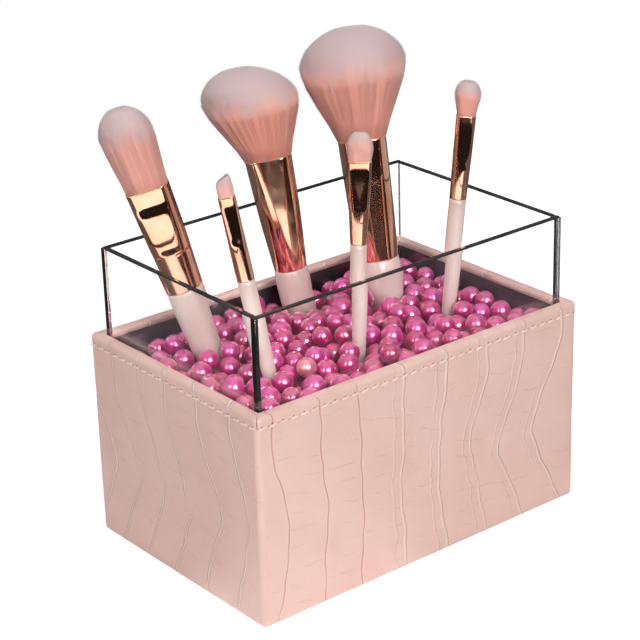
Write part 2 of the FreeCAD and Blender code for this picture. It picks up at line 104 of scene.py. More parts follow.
class Finish(NodeMaker):
    def __init__(self, name, constants=None, tree=None):
        self.bumps = None
        if tree:
            self.tree = tree
            return
        self.material = bpy.data.materials.new(name)
        self.material.use_nodes = True
        self.tree = self.material.node_tree
        self.shader = self.tree.nodes["Principled BSDF"]
        for socket, value in (constants or {}).items():
            self.shader.inputs[socket].default_value = value

    def place(self, stretch=(1, 1, 1), turn=(0, 0, 0)):  # object coordinates, stretched or turned
        where = self.add("ShaderNodeTexCoord", out="Object")
        return self.add("ShaderNodeMapping", {}, {"Vector": where, "Scale": stretch, "Rotation": turn})

    def attribute(self, name):
        return self.add("ShaderNodeAttribute", {"attribute_name": name}, out="Fac")

    def noise(self, where, scale, detail=2.0, roughness=0.5):
        values = {"Vector": where, "Scale": scale, "Detail": detail, "Roughness": roughness}
        return self.add("ShaderNodeTexNoise", {}, values)

    def blend(self, factor, first, second, how="MIX"):  # colours, so Mix and not Math
        settings = {"data_type": "RGBA", "blend_type": how}
        return self.add("ShaderNodeMix", settings, {0: factor, 6: first, 7: second}, out=2)

    def part(self, vector, axis):
        return self.add("ShaderNodeSeparateXYZ", {}, {"Vector": vector}, out=axis)

    def facing(self, vector, way):  # 1 where a direction is that way, -1 where it is the opposite
        return self.add("ShaderNodeVectorMath", {"operation": "DOT_PRODUCT"}, {0: vector, 1: way}, out=1)

    def sight(self):  # 1 for rays mirrored in a surface, 1 for plain sight, 1 for sight through the acrylic
        path = self.add("ShaderNodeLightPath").socket.node.outputs
        mirrored = Wire(self, path["Glossy Depth"]).ease(0.5, 0.6)
        through = Wire(self, path["Is Transmission Ray"])
        return mirrored, (Wire(self, path["Is Camera Ray"]) + through) * (1 - mirrored), through

    def colour(self, value):
        self.feed(self.shader.inputs["Base Color"], value)

    def roughness(self, value):
        self.feed(self.shader.inputs["Roughness"], value)

    def bump(self, height, depth):  # depth in metres for a height of 1
        values = {"Height": height, "Distance": depth, "Strength": 1.0}
        if self.bumps:
            values["Normal"] = self.bumps
        self.bumps = self.add("ShaderNodeBump", {}, values)
        self.feed(self.shader.inputs["Normal"], self.bumps)


class Builder(NodeMaker):  # a Geometry Nodes tree with named inputs, run once to a plain mesh
    def __init__(self, name, inputs):
        self.tree = bpy.data.node_groups.new(name, "GeometryNodeTree")
        make = self.tree.interface.new_socket
        inputs = {"Geometry": "Geometry", **inputs}
        self.identifiers = {}
        for label, kind in inputs.items():
            socket = make(label, in_out="INPUT", socket_type="NodeSocket" + kind)
            self.identifiers[label] = socket.identifier
        make("Geometry", in_out="OUTPUT", socket_type="NodeSocketGeometry")
        outputs = self.tree.nodes.new("NodeGroupInput").outputs
        self.start = {label: Wire(self, outputs[label]) for label in inputs}
        self.end = self.tree.nodes.new("NodeGroupOutput").inputs

    def named(self, name):
        return self.add("GeometryNodeInputNamedAttribute", {"data_type": "FLOAT"}, {"Name": name})

    def draw(self, low, high, seed, number=None):  # a random number for each thing, the same on every run
        values = {2: low, 3: high, "Seed": seed}
        if number:
            values["ID"] = number
        return self.add("FunctionNodeRandomValue", {"data_type": "FLOAT"}, values, out=1)

    def keep(self, geometry, name, value):  # stores a value on every point for the finish to read
        values = {"Geometry": geometry, "Name": name, "Value": value}
        return self.add("GeometryNodeStoreNamedAttribute", {"data_type": "FLOAT", "domain": "POINT"}, values)

    def vector(self, x, y, z):
        return self.add("ShaderNodeCombineXYZ", {}, {"X": x, "Y": y, "Z": z})

    def scatter(self, thing, turn, size):  # one copy of the thing on every point of the seed mesh
        values = {"Points": self.start["Geometry"], "Instance": thing, "Rotation": turn, "Scale": size}
        return self.add("GeometryNodeInstanceOnPoints", {}, values)

    def finish(self, geometry):  # a real mesh with its finish, because the export drops instances
        real = self.add("GeometryNodeRealizeInstances", {}, {0: geometry})
        values = {"Geometry": real, "Material": self.start["Material"]}
        self.feed(self.end[0], self.add("GeometryNodeSetMaterial", {}, values))

    def grow(self, name, seedMesh, values):
        piece = stand(name, seedMesh)
        modifier = piece.modifiers.new(name, "NODES")
        modifier.node_group = self.tree
        for label, value in values.items():
            modifier[self.identifiers[label]] = value
        graph = bpy.context.evaluated_depsgraph_get()
        mesh = bpy.data.meshes.new_from_object(piece.evaluated_get(graph))
        piece.modifiers.remove(modifier)
        piece.data = mesh
        mesh.name = name
        mesh.shade_smooth()
        return piece


def linear(red, green, blue):  # a screen colour from 0 to 255, as the shaders want it
    def part(value):
        share = value / 255
        return share / 12.92 if share <= 0.04045 else ((share + 0.055) / 1.055) ** 2.4
    return (part(red), part(green), part(blue), 1.0)


def stand(name, data):  # puts a mesh, a lamp or a camera in the scene
    thing = bpy.data.objects.new(name, data)
    bpy.context.scene.collection.objects.link(thing)
    return thing


def meshOf(name, points, faces=(), **attributes):
    mesh = bpy.data.meshes.new(name)
    mesh.from_pydata([tuple(point) for point in points], [], [tuple(face) for face in faces])
    for label, values in attributes.items():
        layer = mesh.attributes.new(label, "FLOAT", "POINT")
        layer.data.foreach_set("value", np.asarray(values, np.float32))
    return mesh


def addPiece(name, points, faces, material, smooth=True, **attributes):
    mesh = meshOf(name, points, faces, **attributes)
    mesh.materials.append(material)
    if smooth:
        mesh.shade_smooth()
    return stand(name, mesh)


def dress(piece, body, slotName, *nodes):  # hands the piece to its body and hides the CAD nodes it stands for; slotName is not used
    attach(piece, body)
    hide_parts(*nodes)


def gridFaces(rows, columns, end):  # quads between rings of points, whose two ends are capped or joined
    faces = []
    for row in range(rows if end == "joined" else rows - 1):
        here, above = row * columns, (row + 1) % rows * columns
        for column in range(columns):
            beside = (column + 1) % columns
            faces.append((here + column, here + beside, above + beside, above + column))
    if end == "capped":
        faces += [tuple(reversed(range(columns))), tuple(range((rows - 1) * columns, rows * columns))]
    return faces


def loft(name, rings, end, material, **attributes):  # a piece through rings of points
    faces = gridFaces(len(rings), len(rings[0]), end)
    return addPiece(name, np.concatenate(rings), faces, material, **attributes)


def circle(sides):  # of radius 1, as points on the plan
    turns = np.arange(sides) * math.tau / sides
    return np.column_stack([np.cos(turns), np.sin(turns)])


def raised(points, height):  # points on the plan, brought to a height
    return np.column_stack([points, np.broadcast_to(height, len(points))])


def pointsOf(mesh):
    points = np.empty(len(mesh.vertices) * 3, np.float32)
    mesh.vertices.foreach_get("co", points)
    return points.reshape(-1, 3).astype(float)


# The studio. Turns are in degrees from straight towards the camera, which looks along its heading.
studio = {
    "cameraPlace": (-568.9, -698.2, 480.4), "cameraHeading": -38.71, "cameraDrop": 22.92,
    "cameraRoll": -1.62, "lens": 118.3, "sensor": 36.0, "nearClip": 10,
    "floorRadius": 600, "floorSides": 96, "floorColour": linear(236, 236, 236),
    "floorAside": linear(70, 70, 70), "floorGlow": 0.5, "mirrorGlow": 0.2, "panelLoss": 0.16,
    "aheadEdge": (0.6, 0.85), "farEdge": (0.355, 0.39), "farSides": (0.1, 0.3), "asideEdge": (0.5, 0.7),
    "doorTurn": 86, "doorEdge": (0.62, 0.75), "doorLight": 0.05,
    "stripePlace": 0.86, "stripeEdge": (0.012, 0.03), "doorStripe": 0.5,
    "backEdge": (0.72, 0.85), "backLight": 0.22, "sideEdge": (-0.2, -0.05), "sideLight": 0.6,
    "tableEdge": (0.0, 0.12), "wallEdge": (-0.3, 0.5), "wallFoot": 0.322, "wallLight": 0.46,
    "darkLight": 0.015, "ceilingLight": 0.95,
    "boxes": {
        "rightBox": {"turn": 23, "rise": 25, "distance": 1050, "width": 420, "height": 420, "power": 3.75},
        "leftBox": {"turn": -32, "rise": 25, "distance": 1050, "width": 200, "height": 420, "power": 1.5},
    },
    "topBox": {"place": (0, 60, 1100), "width": 1300, "height": 1300, "power": 3.4}, "aim": (0, 0, 110),
    "glints": ((23, 27, 21), (-32, 24, 9), (-32, 36, 9)), "glintEdge": 0.015, "glintLight": 14,
}


def wayTo(turn, rise=0.0):  # a direction, turned and raised from the way to the camera
    turn = math.radians(270 + studio["cameraHeading"] + turn)
    rise = math.radians(rise)
    return math.cos(turn) * math.cos(rise), math.sin(turn) * math.cos(rise), math.sin(rise)


def addCamera():
    back, right = Vector(wayTo(0, studio["cameraDrop"])), Vector(wayTo(90))
    turn = Matrix((right, back.cross(right), back)).transposed().to_4x4()
    turn = turn @ Matrix.Rotation(math.radians(studio["cameraRoll"]), 4, "Z")
    camera = stand("camera", bpy.data.cameras.new("camera"))
    camera.matrix_world = Matrix.Translation(Vector(studio["cameraPlace"]) * mm) @ turn
    camera.data.lens = studio["lens"]
    camera.data.sensor_width = studio["sensor"]
    camera.data.clip_start = studio["nearClip"] * mm
    bpy.context.scene.camera = camera


def addLamp(name, place, box):
    light = bpy.data.lights.new(name, "AREA")
    light.shape = "RECTANGLE"
    light.size = box["width"] * mm
    light.size_y = box["height"] * mm
    light.energy = box["power"]
    lamp = stand(name, light)
    lamp.location = place
    lamp.rotation_euler = (place - Vector(studio["aim"]) * mm).to_track_quat("Z", "Y").to_euler()
    lamp.visible_camera = False


def addLamps():
    for name, box in studio["boxes"].items():
        addLamp(name, Vector(wayTo(box["turn"], box["rise"])) * box["distance"] * mm, box)
    addLamp("topBox", Vector(studio["topBox"]["place"]) * mm, studio["topBox"])


def addWorld():
    world = bpy.data.worlds.new("studio")
    world.use_nodes = True
    bpy.context.scene.world = world
    room = Finish("studioRoom", tree=world.node_tree)
    mirrored, plain, through = room.sight()
    where = room.add("ShaderNodeTexCoord", out="Generated")
    height = room.part(where, "Z")
    # metal sees white walls, a dark doorway on the right and a dark room below the table's edge
    door = room.facing(where, wayTo(studio["doorTurn"]))
    stripe = (door - studio["stripePlace"]).near(*studio["stripeEdge"]) * studio["doorStripe"]
    behind = room.facing(where, wayTo(180))
    walls = behind.ease(*studio["backEdge"], studio["ceilingLight"], studio["backLight"])
    walls = walls * door.ease(*studio["doorEdge"], 1.0, studio["doorLight"]) + stripe
    glint = 0
    for turn, rise, size in studio["glints"]:  # the soft boxes as a polished ball mirrors them
        reach = math.cos(math.radians(size))
        middle = room.facing(where, wayTo(turn, rise))
        glint = middle.ease(reach, reach + studio["glintEdge"]) + glint
    above = height.ease(*studio["tableEdge"])
    sides = behind.ease(*studio["sideEdge"]) * behind.ease(*studio["backEdge"], 1.0, 0.0)
    below = sides * studio["sideLight"] + studio["darkLight"]
    seen = above * walls + (1 - above) * below + glint * studio["glintLight"]
    lit = height.ease(*studio["wallEdge"], studio["wallFoot"], studio["wallLight"])
    strength = lit * (1 - mirrored) + seen * mirrored
    level = strength * (1 - plain) + plain * (1 + through * studio["panelLoss"])
    background = world.node_tree.nodes["Background"]
    background.inputs["Color"].default_value = (1, 1, 1, 1)
    room.feed(background.inputs["Strength"], level)


def addFloor():
    sides = studio["floorSides"]
    rim = raised(circle(sides) * studio["floorRadius"] * mm, 0)
    finish = Finish("floorPaper", {"Roughness": 0.9, "Emission Color": (1, 1, 1, 1)})
    mirrored, plain, through = finish.sight()
    # painted reflection: seen in metal and acrylic, the table glows brightest in front of the camera and far out,
    # and is painted dark grey elsewhere
    spot = finish.add("ShaderNodeTexCoord", out="Object")
    way = finish.add("ShaderNodeVectorMath", {"operation": "NORMALIZE"}, {0: spot})
    far = finish.add("ShaderNodeVectorMath", {"operation": "LENGTH"}, {0: spot}, out=1)
    front = finish.facing(way, wayTo(0))
    ahead = front.ease(*studio["aheadEdge"])
    bright = ahead + (1 - ahead) * far.ease(*studio["farEdge"]) * front.ease(*studio["farSides"])
    bright = bright * finish.facing(way, wayTo(90)).ease(*studio["asideEdge"], 1.0, 0.0)
    glow = plain * (1 + through * studio["panelLoss"] * 2) * studio["floorGlow"]
    finish.feed(finish.shader.inputs["Emission Strength"], glow + mirrored * bright * studio["mirrorGlow"])
    finish.colour(finish.blend(mirrored * (1 - bright), studio["floorColour"], studio["floorAside"]))
    addPiece("floor", rim, [range(sides)], finish.material, smooth=False)


bpy.context.scene.view_settings.view_transform = "Standard"
addCamera()
addLamps()
addWorld()
addFloor()
print("studio set")


# The leather cover. Places round the case are in mm from the front left corner, along the front first;
# a crease is its place at the rim and how far its kink stands from that line.
hide = {
    "cornerRadius": 2.5, "foldRadius": 2.0, "lipRadius": 0.8, "baseRadius": 0.9,
    "skin": 1.0, "rim": 5.0, "lipDrop": 3.0, "turnIn": 13.0, "step": 1.0, "cornerSteps": 6,
    "hemDrop": 5.2, "hemPuff": 0.2, "stitchGroove": 0.3, "grooveWidth": 0.8, "padding": 0.2,
    "creases": (
        (-129, 20), (-108, 20), (-87, 18), (-67, 17), (-44, 16), (-19, 11), (8, 8), (34, 3), (56, 1.5),
        (82, -2), (107, -5), (133, -11), (156, -16), (180, -19), (203, -15), (227, -9), (251, -2), (274, 5),
        (298, 12), (322, 17), (346, 19), (371, 16), (394, 11), (417, 5), (438, -1), (459, -6), (479, -3),
    ),
    "spacing": 24,  # mm from crease to crease, about
    "broken": (1, 2, 3, 14, 17, 20, 23), "brokenShare": 0.74,
    "twins": (77, 101, 128, 151, 222, 293, 341, 389, 437), "twinSpread": 12,
    "kinkHeight": 41, "kinkSwing": 5, "straightAbove": 88,
    "wobbles": ((0.6, 7, 2), (0.3, 2.9, 5)), "hook": -2.2, "hookFrom": 96, "hookOver": 6,
    "cutFrom": -12, "cutTo": 72, "cutFade": 5,
    "colour": linear(230, 194, 183), "patchColour": linear(225, 187, 175),
    "ridgeHighlightColour": linear(248, 222, 212), "creaseShadeColour": linear(214, 138, 118),
    "crackShadeColour": linear(202, 158, 145), "holeShadeColour": linear(96, 62, 52),
    "grainSize": 0.9, "grainDepth": 0.04, "creaseDepth": 0.32, "crackDepth": 0.08, "holeDepth": 0.4,
    "around": 630, "seam": 95.8, "stitchPitch": 5.7,
}


def caseSize():  # in mm, with the way round it
    low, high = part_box("leather_wrap")
    size = (high - low) / mm
    return size, 2 * (size.x + size.y)


def lapped(values, around):  # brought within half a lap of zero
    return (values + around / 2) % around - around / 2


def caseOutline(depth, size):  # points round the case, the way out at each, and how far round it is
    length, width = size
    radius = hide["cornerRadius"]
    coreX, coreY = length / 2 - radius, width / 2 - radius
    points, outwards, places = [], [], []
    along, start = 0.0, np.array([-coreX, -coreY])
    corner = np.arange(hide["cornerSteps"]) / hide["cornerSteps"]
    for side in range(4):
        turn = (side - 1) * math.pi / 2
        out = np.array([math.cos(turn), math.sin(turn)])
        forward = np.array([-out[1], out[0]])
        run = 2 * (coreY if side % 2 else coreX)
        count = round(run / hide["step"])
        straight = np.arange(count) / count * run
        bends = turn + corner * math.pi / 2
        points += [start + np.outer(straight, forward), np.tile(start + forward * run, (len(corner), 1))]
        outwards += [np.tile(out, (count, 1)), np.column_stack([np.cos(bends), np.sin(bends)])]
        places += [along + radius + straight, along + radius + run + 2 * radius * corner]
        start = start + forward * run
        along += run + 2 * radius
    points, outwards, places = (np.concatenate(parts) for parts in (points, outwards, places))
    if depth > -radius:
        return points + outwards * (radius + depth), outwards, places
    shrink = np.array([(length / 2 + depth) / coreX, (width / 2 + depth) / coreY])
    return points * shrink, outwards, places


def arcRows(depth, height, radius, start, count, steps):  # part of a curve, in quarter turns from start
    bends = [math.pi / 2 * (start + k / steps) for k in range(count)]
    ways = [(math.cos(bend), math.sin(bend)) for bend in bends]
    return [(depth + radius * wayOut, height + radius * wayUp, wayOut, wayUp) for wayOut, wayUp in ways]


# The rows of the cover, from the turn-in up and over the rim: offset, height and the way out at each.
def caseProfile(top):
    rim, base, fold, lip = hide["rim"], hide["baseRadius"], hide["foldRadius"], hide["lipRadius"]
    upright = top - fold - base
    steps = round(upright / hide["step"])
    rows = [(-hide["turnIn"] + k * (hide["turnIn"] - base) / 5, 0, 0, -1) for k in range(5)]
    rows += arcRows(-base, base, base, -1, 5, 5)
    first = len(rows) - 1
    rows += [(0, base + upright * k / steps, 1, 0) for k in range(steps)]
    rows += arcRows(-fold, top - fold, fold, 0, 8, 8)
    rows += [(-fold - (rim - fold - lip) * k / 3, top, 0, 1) for k in range(3)]
    rows += arcRows(lip - rim, top - lip, lip, 1, 5, 4)
    rows.append((-rim, top - hide["lipDrop"], -1, 0))
    rows = np.array(rows, float)
    steps = np.hypot(*np.diff(rows[:, :2], axis=0).T)
    heights = np.concatenate([[0], np.cumsum(steps)])
    return rows, heights - heights[first]  # with each row's height on the hide, counted from the base


def kinkOf(number):  # height of a crease's bend
    return hide["kinkHeight"] + hide["kinkSwing"] * math.sin(2.1 * number - 2.1)


def creasePlaces(heights):  # where each crease runs, for every height on the hide
    lines = []
    for number, (start, shift) in enumerate(hide["creases"]):
        kink = kinkOf(number)
        rise = np.clip((heights - kink) / (hide["straightAbove"] - kink), 0, 1)
        share = hide["brokenShare"] if number in hide["broken"] else 1
        upper = share * (1 - rise * rise * (3 - 2 * rise))
        bend = np.where(heights > kink, upper, np.clip(heights / kink, 0, 1))
        wobble = sum(size * np.sin(heights / long + turn * number) for size, long, turn in hide["wobbles"])
        hook = hide["hook"] * np.clip((heights - hide["hookFrom"]) / hide["hookOver"], 0, 1) ** 2
        lines.append(start + shift * bend + wobble + hook)
    return np.array(lines)


def creasePhases(places, heights, around):  # counts creases round the case: a whole number lies on a crease
    lines = creasePlaces(heights)
    numbers = np.arange(-3, len(lines) + 9)
    laps = np.floor_divide(numbers, len(lines))
    wrapped = lines[numbers % len(lines)] + laps[:, None] * around
    return np.array([np.interp(places, wrapped[:, row], numbers) for row in range(len(heights))])


def hideFinish():
    finish = Finish("pinkHide", {"Coat Weight": 0.1, "Coat Roughness": 0.3})
    spread = finish.add("ShaderNodeUVMap", {"uv_map": "spread"})
    phase = finish.part(finish.add("ShaderNodeUVMap", {"uv_map": "phase"}), "X")
    along, upright = (finish.part(spread, axis) * 1000 for axis in "XY")
    drift = finish.noise(spread, 140)
    count = phase + (drift - 0.5) * 0.03
    main = ((count + 0.5).fract() - 0.5) * hide["spacing"]
    twin = ((count + 0.72).fract() - 0.5) * hide["spacing"] + (drift - 0.5) * 3
    twinShare, cutShare = finish.attribute("twinShare"), finish.attribute("cutShare")
    whole = finish.attribute("whole") * finish.noise(spread, 55).ease(0.3, 0.5, 0.45, 1.0)

    # some creases are cut into the hide, the others stand up as veins
    cut = main.near(0.14, 0.42) * cutShare * whole
    seam = twin.near(0.1, 0.4) * twinShare * whole
    lips = (abs(main) - 0.85).near(0.0, 0.6) * cutShare * whole
    vein = main.near(0.25, 1.0) * (1 - cutShare) * whole
    # painted shade: a darker line down one side of each vein, also cut in as a shallow groove
    edge = (main - 0.9).near(0.1, 0.5) * (1 - cutShare) * whole
    twinVein = twin.near(0.1, 0.8) * twinShare * whole

    wander = finish.noise(spread, 45)
    rung = ((upright / 9.0 + wander * 1.3 + phase * 0.37).fract() - 0.5) * 9.0
    broken = finish.noise(spread, 70, 1).ease(0.48, 0.58)
    crack = rung.near(0.08, 0.4) * broken * abs(main).ease(0.5, 2.0)

    # painted shade: a dark needle hole at each end of every stitch, a painted shadow of the thread in a line just
    # under them and a dark slit at each corner
    pitch = hide["around"] / round(hide["around"] / hide["stitchPitch"])
    aside = ((along / pitch).fract() - 0.5) * pitch
    hole = ((aside ** 2 + (upright - hide["seam"]) ** 2) ** 0.5).ease(0.2, 0.6, 1.0, 0.0)
    groove = (upright - hide["seam"] + 0.55).near(0.1, 0.4)
    mitre = finish.attribute("fromCorner").near(0.08, 0.3) * upright.ease(hide["seam"] - 1, hide["seam"])

    grain = finish.add("ShaderNodeTexVoronoi", {"feature": "DISTANCE_TO_EDGE"},
                       {"Vector": spread, "Scale": 1000 / hide["grainSize"]})
    patch = finish.noise(spread, 28, 4)
    fine = finish.noise(spread, 900)

    raised = (lips * 0.35 + vein + twinVein) * (1 - twinShare * 0.35)
    base = finish.blend(patch.ease(0.35, 0.7), hide["colour"], hide["patchColour"])
    for share, colour in (
            # painted highlight: the raised veins and the lips beside cut creases are painted lighter
            (raised.ease(0.0, 1.2, 0.0, 0.9), "ridgeHighlightColour"),
            # painted shade along one side of each vein
            (edge * 0.3, "crackShadeColour"),
            # painted shade in the cracks
            (crack * 0.3, "crackShadeColour"),
            # painted shade: the cut creases and the twin lines beside the veins are painted orange-red
            ((cut + seam * 0.55).ease(0.0, 1.0, 0.0, 0.7), "creaseShadeColour"),
            # painted shade in the holes and slits and under the thread
            ((hole + mitre + groove * 0.45).ease(0.0, 1.0, 0.0, 0.8), "holeShadeColour")):
        base = finish.blend(share, base, hide[colour])
    finish.colour(base)
    finish.roughness(0.42 + cut * 0.15 + fine * 0.08 + patch * 0.06)
    relief = lips * 0.15 - cut * 0.8 + vein * (1.9 - twinShare * 0.8) + twinVein - seam * 0.3 - edge * 0.4
    for height, depth in (
            (relief, "creaseDepth"), (0 - crack, "crackDepth"), (0 - hole - mitre, "holeDepth"),
            (grain.ease(0.0, 0.35), "grainDepth")):
        finish.bump(height, hide[depth] * mm)
    return finish.material


def hideShapes(size, rows, heights, lines):  # every row of points of the cover, outside and then inside
    hem = size.z - hide["hemDrop"]
    groove = -hide["stitchGroove"] * np.exp(-((heights - hem) / hide["grooveWidth"]) ** 2)
    puff = hide["hemPuff"] * np.clip((heights - hem) / 2.5, 0, 1) * np.clip((size.z + 2 - heights) / 4, 0, 1)
    fromCrease = np.abs(lapped(lines, 1)) * hide["spacing"]
    onFace = np.clip(heights / 3, 0, 1) * np.clip((size.z + 3 - heights) / 6, 0, 1)
    padding = hide["padding"] * (1 - np.exp(-fromCrease / 3)) * onFace[:, None]
    points = []
    for row, (depth, height, wayOut, wayUp) in enumerate(rows):
        outline, outwards, _ = caseOutline(depth, size.xy)
        swell = padding[row] + groove[row] + puff[row]
        spots = outline + outwards * (swell * wayOut)[:, None]
        points.append(raised(spots, height + swell * wayUp))
    back, rim, top = hide["skin"], hide["rim"], size.z
    for depth, height in ((back - rim, top - hide["lipDrop"]), (back - rim, top - back), (-back, top - back),
                          (-back, back), (-hide["turnIn"], back)):
        outline, _, _ = caseOutline(depth, size.xy)
        points.append(raised(outline, height))
    return points


def makeHide():
    size, around = caseSize()
    rows, heights = caseProfile(size.z)
    _, _, places = caseOutline(0, size.xy)
    lines = creasePhases(places, heights, around)
    points = hideShapes(size, rows, heights, lines)
    total, columns = len(points), len(places)
    faces = gridFaces(total, columns, "joined")

    def fromNearest(spots):
        return np.min([np.abs(lapped(places - spot, around)) for spot in spots], axis=0)

    inner = total - len(rows)
    heights = np.concatenate([heights, np.full(inner, heights[-1])])
    lines = np.concatenate([lines, np.repeat(lines[-1:], inner, axis=0)])
    signed = lapped(places, around)
    inside = np.minimum(signed - hide["cutFrom"], hide["cutTo"] - signed)
    whole = np.ones((total, columns))
    for number in hide["broken"]:
        near = np.abs(lapped(lines - number, len(hide["creases"]))) < 0.5
        gone = np.clip(1.6 - np.abs(heights - kinkOf(number) - 1) / 2.5, 0, 1)
        whole -= near * gone[:, None]
    corners = (0, size.x, size.x + size.y, 2 * size.x + size.y)
    twins = np.clip(1.6 - fromNearest(hide["twins"]) / hide["twinSpread"], 0, 1)
    cuts = np.clip(inside / hide["cutFade"], 0, 1)
    piece = addPiece(
        "hideCover", np.concatenate(points) * mm, faces, hideFinish(),
        fromCorner=np.tile(fromNearest(corners), total), twinShare=np.tile(twins, total),
        cutShare=np.tile(cuts, total), whole=whole.ravel())

    # each corner's place and height on the hide; the last column of faces ends one lap on
    mesh = piece.data
    faces = np.array(faces)
    row, column = faces.ravel() // columns, faces.ravel() % columns
    seam = (faces.max(axis=1) % columns == columns - 1) & (faces.min(axis=1) % columns == 0)
    lap = np.repeat(seam, 4) & (column == 0)
    spread = np.column_stack([places[column] + lap * around, heights[row]]) * mm
    phase = np.column_stack([lines[row, column] + lap * len(hide["creases"]), heights[row]])
    for name, values in (("spread", spread), ("phase", phase)):
        mesh.uv_layers.new(name=name).data.foreach_set("uv", values.ravel())

    solid = bmesh.new()
    solid.from_mesh(mesh)
    bmesh.ops.remove_doubles(solid, verts=solid.verts, dist=1e-7)
    solid.to_mesh(mesh)
    solid.free()
    mesh.shade_smooth()
    dress(piece, "case", "pink_leather", "leather_wrap")


makeHide()
print("hide made")


# The thread below the rim, one stitch after another.
thread = {
    "length": 5.2, "thickness": 1.0, "slant": 8, "sunk": 0.22, "twist": 0.6, "twistDepth": 0.06,
    "colour": linear(250, 226, 215), "shade": linear(222, 186, 172),
}


def threadFinish():
    finish = Finish("rimThread", {"Roughness": 0.75, "Sheen Weight": 0.3})
    where = finish.place(turn=(0, thread["twist"], thread["twist"]))
    twist = finish.add("ShaderNodeTexWave", {"bands_direction": "DIAGONAL"},
                       {"Vector": where, "Scale": 900, "Distortion": 1.5, "Detail": 2})
    finish.colour(finish.blend(twist * 0.7, thread["colour"], thread["shade"]))
    finish.bump(twist, thread["twistDepth"] * mm)
    return finish.material


def makeStitches():
    size, around = caseSize()
    outline, outwards, places = caseOutline(thread["sunk"], size.xy)
    count = round(around / hide["stitchPitch"])
    spots = (np.arange(count) + 0.5) * around / count
    sides = (*outline.T, *outwards.T)
    x, y, outX, outY = (np.interp(spots, places, values, period=around) for values in sides)
    points = np.column_stack([x, y, np.full(count, size.z - hide["hemDrop"])]) * mm
    seed = meshOf("rimStitches", points, heading=np.arctan2(outX, -outY))

    inputs = {"Length": "Float", "Thickness": "Float", "Slant": "Float", "Material": "Material"}
    row = Builder("rimStitches", inputs)
    stitch = row.add("GeometryNodeMeshUVSphere", {}, {"Segments": 8, "Rings": 6, "Radius": 0.5})
    turn = row.vector(0, row.start["Slant"] + row.draw(-0.05, 0.05, 4), row.named("heading"))
    scale = row.vector(row.start["Length"], row.start["Thickness"], row.start["Thickness"])
    row.finish(row.scatter(stitch, turn, scale))
    piece = row.grow("rimStitches", seed, {
        "Length": thread["length"] * mm, "Thickness": thread["thickness"] * mm,
        "Slant": math.radians(-thread["slant"]), "Material": threadFinish()})
    dress(piece, "case", "thread", "rim_stitching")


makeStitches()
print("stitches sewn")


# Boards, lining and felt keep their CAD shape and get their finish here, like the brushes' lacquer later:
# a drift between two colours under a finer grain.
inside = {
    "lining": {
        "name": "blackLining", "shader": {"Roughness": 0.6}, "drift": (60, 4), "grain": (2600,),
        "edges": (0.35, 0.75), "colours": (linear(22, 21, 23), linear(36, 35, 38)), "rough": (0.5, 0.2, 0),
        "depth": 0.05},
    "base_felt": {
        "name": "baseFelt", "shader": {"Roughness": 0.95, "Sheen Weight": 0.4}, "drift": (1400, 4, 0.7),
        "stretch": (1, 1, 0.3), "edges": (0.3, 0.7), "colours": (linear(38, 37, 40), linear(36, 35, 38)),
        "depth": 0.3},
    "board": {
        "name": "greyBoard", "shader": {"Roughness": 0.9}, "drift": (900, 5, 0.7), "edges": (0.45, 0.7),
        "colours": (linear(150, 141, 128), linear(112, 104, 95)), "depth": 0.08},
}


def plainFinish(values):
    finish = Finish(values["name"], values["shader"])
    where = finish.place(values.get("stretch", (1, 1, 1)))
    drift = grain = finish.noise(where, *values["drift"])
    if "grain" in values:
        grain = finish.noise(where, *values["grain"])
        level, driftShare, grainShare = values["rough"]
        finish.roughness(level + drift * driftShare + grain * grainShare)
    finish.colour(finish.blend(drift.ease(*values["edges"]), *values["colours"]))
    if values["depth"]:
        finish.bump(grain, values["depth"] * mm)
    return finish.material


def finishInside():
    finishes = {part: plainFinish(values) for part, values in inside.items()}
    for name in frame["record"]["behaviour"]["bodies"]["case"]:
        for part, material in finishes.items():
            if part in name:
                frame["nodes"][name].data.materials.clear()
                frame["nodes"][name].data.materials.append(material)


finishInside()
print("inside finished")


# The clear insert: five polished sheets, cemented edge to edge.
insert = {
    "chamfer": 0.12, "rimChamfer": 0.6, "glueGap": 0.02, "ior": 1.49, "tint": (1, 1, 1, 1),
    "shadow": (0.93, 0.94, 0.94, 1),
    "sheets": ("front", "back", "left", "right", "floor"),
    "rim": {  # painted reflection: the sheets' cut and polished top edges are painted dark grey for the dark they mirror
        "name": "acrylicRimDarkReflection", "shader": {"Specular IOR Level": 0.1}, "drift": (70, 3), "grain": (900,),
        "edges": (0.35, 0.7), "colours": (linear(44, 44, 46), linear(62, 62, 65)), "rough": (0.06, 0, 0.08),
        "depth": 0},
}


def acrylicFinish():
    finish = Finish("clearAcrylic", {"Roughness": 0.0, "Transmission Weight": 1.0, "IOR": insert["ior"],
                                     "Base Color": insert["tint"]})
    scuff = finish.noise(finish.place(), 90, 3).ease(0.62, 0.8)
    finish.roughness(scuff * 0.03)
    # the lamps' light passes with hardly a shadow
    lamps = finish.add("ShaderNodeLightPath", out="Is Shadow Ray")
    clear = finish.add("ShaderNodeBsdfTransparent", {}, {"Color": insert["shadow"]})
    seen = Wire(finish, finish.shader.outputs[0])
    through = finish.add("ShaderNodeMixShader", {}, {0: lamps, 1: seen, 2: clear})
    finish.feed(finish.tree.nodes["Material Output"].inputs["Surface"], through)
    return finish.material


